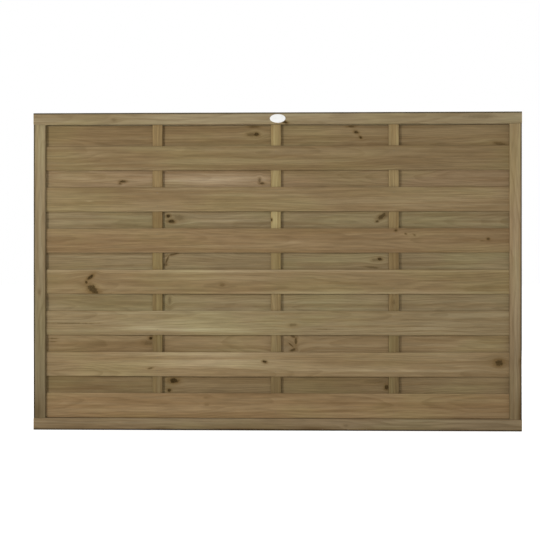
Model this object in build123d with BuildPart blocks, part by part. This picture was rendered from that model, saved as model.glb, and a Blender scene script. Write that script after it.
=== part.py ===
"""Framed hit-and-miss fence panel in planed, pressure-treated softwood.

Two full-width rails and two stiles make a grooved frame. Three upright battens stand in the rails' grooves.
Horizontal slats are pinned to the battens, one row on the front, the next on the rear, and so on down the panel.
Front and rear slats spread apart over the battens and spring back together to share the groove in each stile.

Millimetres. X runs along the panel, Y from its front to its rear, Z up from the underside of the bottom rail.
"""

import os

from build123d import *

# Whole panel
panel_width = 1830.0
panel_height = 1193.0

# Frame members
frame_face = 45.0  # width seen from the front
frame_depth = 45.0
frame_arris = 4.0  # rounding of the long edges
groove_depth = 12.0
groove_clearance = 0.6  # by which a groove is wider than what it holds
tenon_gap = 0.5  # left between a tenon's end and the bottom of its groove

# Slats
slats_per_side = 7
slat_height = 92.0
slat_thickness = 8.0
slat_edge = 2.0  # bevel of the long edges
slat_rail_gap = 2.0  # between the outermost slats and the rails
slat_end_gap = 2.0  # between a slat's end and the bottom of the stile's groove

# Battens, named with how far each one was nailed off its even spacing
batten_drift = {"left": -4.0, "middle": -2.0, "right": -4.5}
batten_width = 38.0
batten_thickness = 16.0
batten_edge = 1.5  # rounding of the long edges

# Pins of square steel wire, driven flush
slat_pin_wire = 2.0
slat_pin_spread = 50.0  # between the two pins of a crossing
slat_pin_cover = 2.0  # wood left beyond the point
frame_pin_wire = 2.5
frame_pin_cover = 9.0  # wood left beyond the point
pin_point = 2.5  # length of the chisel point

# Blank oval plaque on the top rail
plaque_width = 59.0
plaque_height = 32.5
plaque_thickness = 3.0
plaque_edge = 1.2  # bevel round the front
plaque_drift = 5.0  # right of the panel's middle
plaque_drop = 1.0  # below the rail's middle

# Places worked out from the sizes above
inner_width = panel_width - 2 * frame_face
inner_height = panel_height - 2 * frame_face
inner_top = panel_height - frame_face
rail_groove = batten_thickness + groove_clearance
stile_groove = 2 * slat_thickness + groove_clearance
tenon_length = groove_depth - tenon_gap
tenon_width = frame_face - groove_depth

bay_width = (inner_width - len(batten_drift) * batten_width) / (len(batten_drift) + 1)
batten_x = {
    name: -inner_width / 2 + (i + 1) * bay_width + (i + 0.5) * batten_width + drift
    for i, (name, drift) in enumerate(batten_drift.items())
}

slat_rows = 2 * slats_per_side
row_pitch = (inner_height - slat_height - 2 * slat_rail_gap) / (slat_rows - 1)
first_row_z = inner_top - slat_rail_gap - slat_height / 2
slat_half_length = inner_width / 2 + groove_depth - slat_end_gap
slat_y_in_groove = slat_thickness / 2 + groove_clearance / 4
slat_y_on_batten = batten_thickness / 2 + slat_thickness / 2
slat_pin_length = slat_thickness + batten_thickness - slat_pin_cover
frame_pin_length = frame_depth - frame_pin_cover


def row_z(row):
    """Height of a slat row's middle. Row 0 is under the top rail, on the rear side."""
    return first_row_z - row * row_pitch


def save(part, name):
    """Labels a finished piece and writes its STEP file."""
    part.label = name
    export_step(part, f"parts/{name}.step")


def driven_pins(places, wire, length, face_y, into):
    """Pins at (x, z) places, driven from the face at face_y towards +Y (into 1) or -Y (into -1)."""
    with BuildPart() as pin:
        with BuildSketch():
            with BuildLine():
                Polyline(
                    (-wire / 2, 0),
                    (wire / 2, 0),
                    (wire / 2, into * (length - pin_point)),
                    (0, into * length),
                    (-wire / 2, into * (length - pin_point)),
                    close=True,
                )
            make_face()
        extrude(amount=wire / 2, both=True)
    with BuildPart() as pins:
        with Locations(*[(x, face_y, z) for x, z in places]):
            add(pin.part)
    return pins.part


def slat_pins(row, side, battens):
    """The pins that hold one slat row to the named battens. Side is -1 on the front and 1 on the rear."""
    heights = (row_z(row) - slat_pin_spread / 2, row_z(row) + slat_pin_spread / 2)
    places = [(batten_x[name], z) for name in battens for z in heights]
    return driven_pins(
        places, slat_pin_wire, slat_pin_length, side * (slat_y_on_batten + slat_thickness / 2), -side
    )


def frame_pins(tenon_z, places_x):
    """Pins driven from the rear through the rail's cheeks and whatever stands in its groove."""
    places = [(x, tenon_z) for x in places_x]
    return driven_pins(places, frame_pin_wire, frame_pin_length, frame_depth / 2, -1)


top_tenon_z = inner_top + tenon_length / 2
bottom_tenon_z = frame_face - tenon_length / 2
corner_pin_x = [
    side * (panel_width / 2 - share * tenon_width / 3) for side in (-1, 1) for share in (1, 2)
]
rail_pin_x = corner_pin_x + list(batten_x.values())


def rail(centre_z, groove_z, tenon_z):
    """A full-width rail with a groove in its inner face, centred on the height groove_z."""
    with BuildPart() as member:
        with BuildSketch(Plane.YZ.offset(-panel_width / 2)):
            with Locations((0, centre_z)):
                RectangleRounded(frame_depth, frame_face, frame_arris)
        extrude(amount=panel_width)
        with BuildSketch(Plane.YZ.offset(-panel_width / 2)):
            with Locations((0, groove_z)):
                Rectangle(rail_groove, groove_depth)
        extrude(amount=panel_width, mode=Mode.SUBTRACT)
        add(frame_pins(tenon_z, rail_pin_x), mode=Mode.SUBTRACT)
    return member.part


def stile(side):
    """An upright with a groove in its inner face and a stub tenon on each end. Side is -1 left, 1 right."""
    centre_x = side * (panel_width - frame_face) / 2
    groove_x = side * (inner_width + groove_depth) / 2
    tenon_x = side * (panel_width - tenon_width) / 2
    with BuildPart() as member:
        with BuildSketch(Plane.XY.offset(frame_face)):
            with Locations((centre_x, 0)):
                RectangleRounded(frame_face, frame_depth, frame_arris)
            with Locations((groove_x, 0)):
                Rectangle(groove_depth, stile_groove, mode=Mode.SUBTRACT)
        extrude(amount=inner_height)
        with BuildSketch(Plane.XY.offset(frame_face - tenon_length)):
            with Locations((tenon_x, 0)):
                Rectangle(tenon_width, batten_thickness)
        extrude(amount=inner_height + 2 * tenon_length)
        for tenon_z in (bottom_tenon_z, top_tenon_z):
            add(frame_pins(tenon_z, corner_pin_x), mode=Mode.SUBTRACT)
    return member.part


def batten(name):
    """An upright that stands in both rails' grooves, with slats pinned to its front and rear."""
    with BuildPart() as member:
        with BuildSketch(Plane.XY.offset(frame_face - tenon_length)):
            with Locations((batten_x[name], 0)):
                RectangleRounded(batten_width, batten_thickness, batten_edge)
        extrude(amount=inner_height + 2 * tenon_length)
        for row in range(slat_rows):
            side = 1 if row % 2 == 0 else -1
            add(slat_pins(row, side, [name]), mode=Mode.SUBTRACT)
        for tenon_z in (bottom_tenon_z, top_tenon_z):
            add(frame_pins(tenon_z, [batten_x[name]]), mode=Mode.SUBTRACT)
    return member.part


def bend_radius(run):
    """Radius of the two equal arcs that carry a slat from the groove out to the batten's face over a run."""
    rise = slat_y_on_batten - slat_y_in_groove
    return (run**2 + rise**2) / (4 * rise)


def slat(row, side):
    """A slat that runs straight over the battens and springs back into the stiles' grooves at both ends."""
    groove_y = side * slat_y_in_groove
    batten_y = side * slat_y_on_batten
    mouth_x = inner_width / 2
    first_x = min(batten_x.values()) - batten_width / 2
    last_x = max(batten_x.values()) + batten_width / 2
    left_bend = ((first_x - mouth_x) / 2, (groove_y + batten_y) / 2)
    right_bend = ((last_x + mouth_x) / 2, (groove_y + batten_y) / 2)
    left_radius = side * bend_radius(mouth_x + first_x)
    right_radius = side * bend_radius(mouth_x - last_x)
    with BuildPart() as board:
        with BuildLine(Plane.XY.offset(row_z(row))) as spine:
            Line((-slat_half_length, groove_y), (-mouth_x, groove_y))
            RadiusArc((-mouth_x, groove_y), left_bend, -left_radius)
            RadiusArc(left_bend, (first_x, batten_y), left_radius)
            Line((first_x, batten_y), (last_x, batten_y))
            RadiusArc((last_x, batten_y), right_bend, right_radius)
            RadiusArc(right_bend, (mouth_x, groove_y), -right_radius)
            Line((mouth_x, groove_y), (slat_half_length, groove_y))
        with BuildSketch(Plane(origin=spine.line @ 0, x_dir=(0, 1, 0), z_dir=(1, 0, 0))):
            chamfer(Rectangle(slat_thickness, slat_height).vertices(), slat_edge)
        sweep()
        add(slat_pins(row, side, batten_x), mode=Mode.SUBTRACT)
    return board.part


def plaque():
    """An oval plate with a bevelled front edge, flat against the top rail."""
    front_y = -frame_depth / 2
    middle_z = panel_height - frame_face / 2 - plaque_drop
    with BuildPart() as plate:
        with BuildSketch(Plane(origin=(plaque_drift, front_y, middle_z), x_dir=(1, 0, 0), z_dir=(0, -1, 0))):
            Ellipse(plaque_width / 2, plaque_height / 2)
        extrude(amount=plaque_thickness)
        chamfer(plate.faces().sort_by(Axis.Y)[0].edges(), plaque_edge)
    return plate.part


os.makedirs("parts", exist_ok=True)

save(rail(panel_height - frame_face / 2, inner_top + groove_depth / 2, top_tenon_z), "top_rail")
save(rail(frame_face / 2, frame_face - groove_depth / 2, bottom_tenon_z), "bottom_rail")
save(stile(-1), "left_stile")
save(stile(1), "right_stile")
for batten_name in batten_x:
    save(batten(batten_name), f"{batten_name}_batten")

front_rows = range(1, slat_rows, 2)
rear_rows = range(0, slat_rows, 2)
for face_name, side, rows in (("front", -1, front_rows), ("rear", 1, rear_rows)):
    for number, row in enumerate(rows, 1):
        save(slat(row, side), f"{face_name}_slat_{number}")
    with BuildPart() as face_pins:
        for row in rows:
            add(slat_pins(row, side, batten_x))
    save(face_pins.part, f"{face_name}_slat_pins")

with BuildPart() as all_frame_pins:
    add(frame_pins(top_tenon_z, rail_pin_x))
    add(frame_pins(bottom_tenon_z, rail_pin_x))
save(all_frame_pins.part, "frame_pins")
save(plaque(), "plaque")
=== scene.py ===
"""Dresses the framed hit-and-miss fence panel in pressure-treated softwood.

The panel's solids are loaded as a fixed frame. Every board is modelled over its solid with rounded edges,
a little wander, and its own grain and knots. Pins, the blank plaque and a plain studio follow.
"""

import math
from collections import namedtuple

import bmesh
import bpy
from bpy.props import FloatProperty, FloatVectorProperty, PointerProperty
from mathutils import Matrix, Vector, noise


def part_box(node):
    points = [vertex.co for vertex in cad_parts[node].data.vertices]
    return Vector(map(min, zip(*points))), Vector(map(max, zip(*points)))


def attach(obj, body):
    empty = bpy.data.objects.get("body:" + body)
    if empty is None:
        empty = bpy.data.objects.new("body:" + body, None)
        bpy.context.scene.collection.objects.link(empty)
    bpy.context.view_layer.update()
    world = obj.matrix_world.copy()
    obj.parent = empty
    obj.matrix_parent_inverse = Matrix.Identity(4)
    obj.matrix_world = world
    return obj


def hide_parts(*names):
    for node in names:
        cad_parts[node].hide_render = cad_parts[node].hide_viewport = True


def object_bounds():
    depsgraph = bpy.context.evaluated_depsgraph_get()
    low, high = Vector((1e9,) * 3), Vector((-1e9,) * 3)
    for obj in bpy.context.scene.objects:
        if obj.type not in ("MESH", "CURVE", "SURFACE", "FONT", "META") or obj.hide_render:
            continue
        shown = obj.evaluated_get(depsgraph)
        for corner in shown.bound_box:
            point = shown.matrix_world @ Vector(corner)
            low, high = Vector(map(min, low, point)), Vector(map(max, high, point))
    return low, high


bl_info = {
    "name": "Hit-and-miss fence panel",
    "version": (1, 0, 0),
    "blender": (4, 5, 0),
    "location": "View3D > Sidebar > Fence panel",
    "description": "Models the boards, pins and plaque of a hit-and-miss fence panel, and a studio for it",
    "category": "Object",
}

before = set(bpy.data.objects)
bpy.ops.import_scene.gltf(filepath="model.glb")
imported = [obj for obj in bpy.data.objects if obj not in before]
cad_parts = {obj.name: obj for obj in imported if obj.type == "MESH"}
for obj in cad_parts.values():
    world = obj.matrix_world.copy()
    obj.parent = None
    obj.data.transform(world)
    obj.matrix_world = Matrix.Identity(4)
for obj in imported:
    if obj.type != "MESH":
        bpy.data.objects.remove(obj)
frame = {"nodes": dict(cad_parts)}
CAD_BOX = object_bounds()

BODY = "root"
MM = 0.001
ALONG_X = Vector((1, 0, 0))
ALONG_Z = Vector((0, 0, 1))

# Places read from the frame
BATTENS = ("left_batten", "middle_batten", "right_batten")
LEFT_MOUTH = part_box("left_stile")[1].x
RIGHT_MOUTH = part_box("right_stile")[0].x
FIRST_BATTEN_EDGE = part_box("left_batten")[0].x
LAST_BATTEN_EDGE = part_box("right_batten")[1].x
BATTEN_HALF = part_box("left_batten")[1].y
INNER_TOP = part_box("top_rail")[0].z
INNER_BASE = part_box("bottom_rail")[1].z
TENON_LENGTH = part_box("left_stile")[1].z - INNER_TOP

# How the meshes are divided and finished
SLAT_CUTS = (140, 7)  # along and across
BATTEN_CUTS = (60, 3)
FRAME_CUTS = 90
EDGE_SEGMENTS = 3
FRAME_EDGE_SEGMENTS = 4
SHARP_ANGLE = math.radians(38)  # edges that turn more than this stay sharp
PARALLEL = 0.999  # cosine above which an edge runs along a direction
TOUCH = 1e-6  # metres within which two places are one
PIN_TIP = 0.15  # width left at a pin's point, as a share of the wire
PIN_HEAD_BEVEL = 0.12  # as a share of the wire
PLAQUE_SIDES = 72
PLAQUE_EDGE_SEGMENTS = 4
PLAQUE_STEPS = 2  # insets that crown the plaque's face
PLAQUE_STEP_SHARE = 12  # how many times a step's width goes into the plaque's height
PLAQUE_CROWN = 0.08 * MM  # rise of the outer step

# How the boards have moved, in waves of noise to a metre. Steps, seeds and rows keep one noise off another.
WAVE_STEP = (5.3, 1.9, 3.1)
EDGE_WAVE, TWIST_WAVE = 2.3, 5.0
TWIST = 0.6  # share of the wander by which a slat's two edges differ
SLAT_RIPPLE = (14, 60)  # along the slat and across it
TWIST_SEED, RIPPLE_SEED = 40, 80
CUP_LEVEL = 0.33  # leaves a cupped face at about its old mean depth
NEAR_RAIL = 0.25  # a slat is beside a rail if the gap is under this share of half its height
SWELL = 0.8  # share of that gap that the slat has swollen over
HELD_WANDER = 0.15  # share of the wander that a slat beside a rail keeps
BAR_WAVE = 3
BAR_ROWS = (0, 9)  # for a bar's depth and its width
BAR_RIPPLE = (22, 70)  # along the bar and across it
BAR_RIPPLE_SHARE = 0.8
BAR_RIPPLE_SEEDS = (30, 60)  # for a bar's depth and its width

# Noise in the wood: its scale along a board, across it and into it, its detail and its roughness
Cloud = namedtuple("Cloud", "scale detail roughness", defaults=(0.55,))
PITH_BEND = Cloud((1.6, 5.0, 5.0), 2.0)
RING_BEND = Cloud((9.0, 60.0, 60.0), 2.0)
KNOT_OUTLINE = Cloud((105, 125, 125), 3.0)
KNOT_HEART = Cloud((190, 240, 240), 2.0)
ARRIS_PATCHES = Cloud((7.0, 1.0, 1.0), 3.0)
GRAIN = {
    "streaks": Cloud((1.4, 52.0, 30.0), 4.0, 0.6),
    "fibres": Cloud((9.0, 620.0, 300.0), 3.0, 0.6),
    "patches": Cloud((3.2, 9.0, 7.0), 3.0, 0.5),
    "flecks": Cloud((11.0, 130.0, 70.0), 3.0, 0.6),
}

# Growth rings
SEED_STEP = (3.7, 0.83, 1.31)  # metres from one board's grain to the next's
PITH_LEAN = 0.014  # metres into the board for each metre along it
PITH_REACH = 0.050  # metres over which the pith bends
RING_REACH = 0.004  # metres over which a ring's line bends
LATE_WOOD = (0.30, 0.88)  # share of a ring from where to where it darkens
RING_END = (0.90, 1.0)  # share of a ring from where to where it ends
FAINT_RING = 0.3  # strength of the faintest ring

# Knots, in half sizes from their middle: where each part starts to fade and where it has gone
HEART_EDGE = (0.70, 1.15)
STAIN_EDGE = (0.80, 1.90)
HALO_EDGE = (0.7, 2.6)
KNOT_RAGGED = 1.3  # how far the outline strays
STAIN_STRENGTH = 0.30
GRAIN_PULL = 0.8  # how far the grain is drawn round a knot
GRAIN_PULL_FALL = 0.16  # how soon that ends

# Colours of the wood. A contrast is from where to where in the noise the wood changes, and its two lights.
EARLY_TONE = 1.08
LATE_TONE = (0.72, 0.67, 0.60)
RING_SHOW = 0.46
GREEN_FROM, GREEN_SHOW = (0.42, 0.68), 0.40
WARM_FROM, WARM_SHOW = (0.60, 0.38), 0.45
CONTRAST = {
    "streaks": (0.30, 0.72, 0.86, 1.14),
    "fibres": (0.25, 0.75, 0.92, 1.08),
    "flecks": (0.28, 0.72, 0.90, 1.10),
    "patches": (0.25, 0.75, 0.93, 1.07),
    "knot_heart": (0.35, 0.60, 0.80, 1.0),
    "arris_patches": (0.30, 0.65, 0.70, 1.0),
}
PATCH_POWERS = (0.88, 1.06, 1.36)  # a lighter patch gains least in red and most in blue
FOOT_SHADE_REACH = (0.05, 1.0)  # heights between which an upright's painted shade fades, so it gets lighter
HALO_SHOW, CORE_SHOW = 0.6, 0.97
ARRIS_SIDE = (1.9, 0.9)  # from where to where a bar's outer side is darkened by painted shade and soil, in edge roundings from it
ARRIS_FACE = (1.5, 0.7)  # the same from its front and rear
FIBRE_RELIEF, RING_RELIEF = 0.5, 0.5
WOOD_GLOSS = 0.12

# Noise on the steel and the plastic: its scale, detail and roughness
ZINC_SPOTS = (900.0, 3.0, 0.6)
PLAQUE_GRIME = (60.0, 4.0, 0.6)
PLAQUE_STIPPLE = (2200.0, 2.0, 0.5)
ZINC_DULL = (0.40, 0.70)  # from where to where in the spots the zinc dulls
PLAQUE_SOILED = (0.50, 0.85)  # from where to where in the grime the plaque is soiled
ZINC_METALLIC = 0.6

# From where to where in the noise a finish changes, and its roughness there
WOOD_ROUGHNESS = (0.2, 0.8, 0.70, 0.88)
ZINC_ROUGHNESS = (0.3, 0.7, 0.50, 0.75)
PLAQUE_ROUGHNESS = (0.3, 0.8, 0.34, 0.52)

# Strength and depth of a finish's bumps
WOOD_BUMP = (0.35, 0.7 * MM)
PLAQUE_BUMP = (0.10, 0.1 * MM)

# Studio
Lamp = namedtuple("Lamp", "width height place target")
LAMPS = {
    "key": Lamp(0.45, 0.45, (-2.1, -3.2, 1.00), (0, 0, 0.65)),
    "front": Lamp(2.4, 0.8, (0.15, -3.5, 0.92), (0, 0, 0.70)),
    "rear": Lamp(1.6, 1.0, (2.2, 3.4, 1.9), (0, 0, 0.65)),
}
FLOOR_HALF = 40.0
FLOOR_ROUGHNESS = 0.9
FLOOR_GLOW = 0.76  # makes the floor white where it is seen, without lighting the panel
SENSOR_WIDTH = 36.0  # millimetres
WHITE = (1.0, 1.0, 1.0, 1.0)

# A Mix node's factor and two colours among its inputs, and its colour among its outputs
MIX_INPUTS, MIX_COLOUR = (0, 6, 7), 2

# A knot or a patch lies on a board, in millimetres from the panel's middle and base. Long and high are half
# its size. Dark is how black a knot is, turn its slope in degrees, and gain how light a patch is.
# Most patches are the wood's own tone; those marked on the boards below are painted highlight and painted
# shade.
Knot = namedtuple("Knot", "x z long high dark turn", defaults=(0.0,))
Patch = namedtuple("Patch", "x z long high gain")

# What sets one board apart: its tone, how light it is, its own grain, where its pith lies in millimetres,
# its knots and its patches
# A board's light is partly its own tone and partly painted light and shade, evening out how the lamps fall
# from board to board.
Look = namedtuple("Look", "tone light seed pith_across pith_depth knots patches", defaults=((), ()))

LOOKS = {
    "front_slat_1": Look(
        "tan", light=0.97, seed=1, pith_across=20, pith_depth=46,
        patches=[
            Patch(-736, 1046, 80, 3, 1.22), Patch(-300, 1030, 260, 40, 1.06), Patch(130, 1000, 90, 6, 1.16),
        ],
    ),
    "front_slat_2": Look(
        "straw", light=0.95, seed=2, pith_across=-55, pith_depth=30,
        patches=[
            Patch(-706, 861, 13, 3, 1.36), Patch(-520, 854, 75, 3, 1.24), Patch(640, 868, 260, 40, 1.17),
            Patch(420, 868, 130, 3, 0.86), Patch(-680, 880, 200, 50, 0.87),
        ],
    ),
    "front_slat_3": Look(
        "russet", light=0.985, seed=3, pith_across=8, pith_depth=34,
        knots=[
            Knot(446, 750, 5, 4, 0.8), Knot(484, 737, 5, 3, 0.6, -25), Knot(516, 733, 5, 3, 0.5, -25),
            Knot(792, 718, 6, 5, 0.7), Knot(770, 711, 7, 2, 0.35),
        ],
        patches=[Patch(-230, 713, 240, 40, 1.10), Patch(60, 705, 60, 7, 1.18)],
    ),
    "front_slat_4": Look(
        "tan", light=1.02, seed=4, pith_across=-18, pith_depth=52,
        knots=[
            Knot(-702, 575, 14, 6, 1.0, 36), Knot(-717, 555, 5, 5, 1.0), Knot(-693, 529, 24, 13, 0.88, -34),
            Knot(-204, 545, 9, 6, 0.35),
        ],
        patches=[
            # The thin light patches at 517 and 598 are painted highlight along the rounded bottom and top
            # edges.
            Patch(-230, 565, 220, 40, 1.12), Patch(280, 517, 620, 5, 1.36), Patch(0, 598, 1100, 6, 1.50),
        ],
    ),
    "front_slat_5": Look(
        "sage", light=1.065, seed=5, pith_across=30, pith_depth=40,
        knots=[Knot(62, 396, 14, 6, 0.4), Knot(-765, 401, 75, 1.3, 0.75), Knot(170, 380, 30, 2, 0.3)],
        patches=[
            Patch(-495, 386, 70, 9, 1.36), Patch(-290, 375, 140, 8, 1.46), Patch(-330, 415, 300, 45, 1.12),
            Patch(-110, 373, 70, 7, 1.18), Patch(560, 385, 60, 8, 1.16), Patch(650, 405, 220, 50, 1.09),
        ],
    ),
    "front_slat_6": Look(
        "straw", light=0.985, seed=6, pith_across=-35, pith_depth=38,
        knots=[
            Knot(-44, 258, 8, 5, 1.0, -10), Knot(-475, 232, 9, 3, 0.6, 12), Knot(832, 255, 15, 11, 0.82),
        ],
        patches=[
            # The thin light patches at 287 and 288 are painted highlight along the rounded top edge.
            Patch(-240, 258, 260, 32, 1.40), Patch(450, 226, 380, 5, 1.34), Patch(-100, 288, 700, 6, 1.17),
            Patch(820, 255, 60, 30, 0.88), Patch(-680, 240, 190, 40, 0.93), Patch(640, 258, 260, 22, 1.08),
            Patch(680, 287, 210, 6, 1.26),
        ],
    ),
    "front_slat_7": Look(
        "russet", light=1.11, seed=7, pith_across=12, pith_depth=58,
        knots=[Knot(-264, 122, 8, 4, 0.2), Knot(-262, 96, 8, 5, 0.25)],
    ),
    "rear_slat_1": Look(
        "tan", light=1.02, seed=8, pith_across=-30, pith_depth=-44,
        knots=[
            Knot(-76, 1114, 10, 7, 0.92), Knot(-96, 1113, 16, 7, 0.5), Knot(-86, 1142, 20, 3, 0.6),
            Knot(300, 1121, 8, 5, 0.9, -20), Knot(316, 1102, 6, 4, 0.9, -40), Knot(280, 1142, 14, 3, 0.7),
            Knot(838, 1075, 22, 6, 0.5, -8),
        ],
    ),
    "rear_slat_2": Look(
        "pale", light=0.835, seed=9, pith_across=14, pith_depth=-36,
        knots=[
            Knot(-582, 937, 12, 4, 0.9), Knot(-592, 930, 6, 4, 0.6), Knot(-64, 940, 5, 8, 0.5),
            Knot(-55, 929, 9, 4, 0.8),
        ],
        patches=[
            # The dark patch at 960 is painted shadow just under front slat 1.
            Patch(-230, 944, 230, 20, 1.58), Patch(-640, 945, 230, 45, 1.10), Patch(-581, 925, 10, 4, 1.22),
            Patch(-48, 941, 12, 8, 1.22), Patch(300, 960, 420, 10, 0.90),
        ],
    ),
    "rear_slat_3": Look(
        "sage", light=0.965, seed=10, pith_across=-10, pith_depth=-50,
        knots=[
            Knot(-409, 806, 8, 6, 1.0), Knot(-397, 786, 13, 6.5, 0.95), Knot(-370, 800, 20, 10, 0.3),
            Knot(397, 804, 18, 8, 0.76, 34), Knot(378, 785, 6, 4, 0.8),
        ],
        patches=[
            # The dark patch at 770 is painted shade just above the top edge of front slat 3.
            Patch(-220, 787, 210, 5, 1.26), Patch(-230, 790, 200, 40, 1.07), Patch(-700, 770, 200, 8, 0.88),
        ],
    ),
    "rear_slat_4": Look(
        "sage", light=1.00, seed=11, pith_across=40, pith_depth=-32,
        knots=[
            Knot(-414, 640, 16, 3, 0.7, 68), Knot(-388, 662, 22, 3, 0.7, 14), Knot(-420, 622, 9, 4, 0.5),
            Knot(388, 643, 9, 5, 0.95), Knot(372, 640, 14, 6, 0.4), Knot(360, 612, 24, 4, 0.4, -6),
        ],
    ),
    "rear_slat_5": Look(
        "sage", light=1.02, seed=12, pith_across=-24, pith_depth=-42,
        knots=[Knot(-404, 488, 5, 14, 0.35)],
        patches=[
            Patch(-230, 480, 220, 40, 1.06), Patch(-660, 480, 200, 40, 0.86), Patch(220, 480, 190, 40, 1.12),
        ],
    ),
    "rear_slat_6": Look(
        "straw", light=0.98, seed=13, pith_across=6, pith_depth=-60,
        knots=[
            Knot(-474, 344, 9, 6, 1.0), Knot(-486, 326, 20, 9, 0.35), Knot(48, 329, 26, 29, 0.14),
            Knot(73, 333, 5, 12, 0.75), Knot(62, 352, 12, 5, 0.6, -35), Knot(62, 301, 11, 5, 0.75, 20),
            Knot(54, 320, 14, 2.2, 0.75, -40), Knot(-846, 343, 14, 1.5, 0.6), Knot(-848, 331, 12, 1.5, 0.5),
        ],
        patches=[
            Patch(36, 318, 18, 16, 1.16), Patch(400, 325, 420, 40, 1.13), Patch(-690, 325, 210, 40, 0.84),
        ],
    ),
    "rear_slat_7": Look(
        "tan", light=0.915, seed=14, pith_across=-44, pith_depth=-40,
        knots=[
            Knot(-389, 184, 17, 9, 1.0), Knot(-406, 147, 7, 6, 0.9), Knot(414, 161, 8, 9, 0.88),
            Knot(370, 182, 50, 7, 0.25),
        ],
        patches=[
            Patch(-560, 186, 90, 4, 1.18), Patch(-340, 172, 60, 10, 1.10), Patch(-660, 165, 200, 40, 0.86),
            Patch(200, 165, 160, 40, 0.88), Patch(650, 165, 200, 40, 1.07),
        ],
    ),
    "left_batten": Look(
        "batten", light=1.01, seed=15, pith_across=26, pith_depth=40,
        knots=[Knot(-452, 590, 8, 12, 0.4)],
        patches=[
            Patch(-449, 790, 30, 60, 0.77), Patch(-449, 560, 40, 190, 0.80), Patch(-449, 330, 40, 70, 0.88),
        ],
    ),
    "middle_batten": Look(
        "batten", light=1.06, seed=16, pith_across=-30, pith_depth=36,
        knots=[Knot(-18, 791, 3, 5, 0.9)],
        patches=[
            Patch(-6, 791, 22, 40, 1.20), Patch(-2, 635, 40, 80, 0.86), Patch(-2, 160, 40, 70, 0.80),
        ],
    ),
    "right_batten": Look(
        "batten", light=1.00, seed=17, pith_across=18, pith_depth=-44,
        knots=[Knot(440, 480, 6, 9, 0.3)],
        patches=[Patch(440, 680, 40, 120, 0.79)],
    ),
    "top_rail": Look(
        "frame", light=1.08, seed=18, pith_across=10, pith_depth=52,
        knots=[
            # The dark knot at 34, by the plaque's lower right, is partly the plaque's painted shadow.
            Knot(-610, 1166, 9, 5, 0.25), Knot(760, 1175, 60, 6, 0.25), Knot(34, 1155, 9, 4, 0.95, -12),
        ],
        patches=[Patch(-680, 1170, 240, 60, 0.86), Patch(230, 1170, 200, 60, 1.13)],
    ),
    "bottom_rail": Look(
        "brown_frame", light=0.805, seed=19, pith_across=-26, pith_depth=48,
        knots=[Knot(260, 20, 10, 5, 0.25)],
        patches=[
            # The dark patches along the base, with the long one at 1, are painted shade on the lower edge and
            # partly soil; the long light one at 38 is painted highlight on the top edge.
            Patch(-440, 6, 60, 8, 0.62), Patch(-130, 4, 130, 7, 0.62), Patch(140, 8, 60, 10, 0.64),
            Patch(-700, 26, 200, 12, 1.12), Patch(0, 1, 1200, 6, 0.52), Patch(0, 38, 1200, 8, 1.14),
            Patch(225, 22, 200, 60, 1.14), Patch(-720, 22, 180, 60, 0.91),
        ],
    ),
    "left_stile": Look(
        "frame", light=1.06, seed=20, pith_across=34, pith_depth=40,
        knots=[Knot(-893, 520, 5, 9, 0.3)],
        patches=[
            # These three patches are painted shade: the stile darker towards the bottom and along its outer
            # edge low down.
            Patch(-893, 50, 40, 70, 0.84), Patch(-908, 72, 20, 44, 0.66), Patch(-893, 400, 60, 260, 0.85),
        ],
    ),
    "right_stile": Look(
        "brown_frame", light=1.20, seed=21, pith_across=-28, pith_depth=44,
        knots=[Knot(912, 262, 5, 12, 0.5)],
        patches=[
            # The dark patches at 911 and 917 are painted shade down the outer edge; the one at 893 near the
            # foot is painted shade towards the bottom.
            Patch(893, 60, 40, 60, 0.88), Patch(893, 530, 40, 260, 1.10), Patch(917, 190, 9, 260, 0.42),
            Patch(911, 50, 14, 70, 0.62),
        ],
    ),
}


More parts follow.
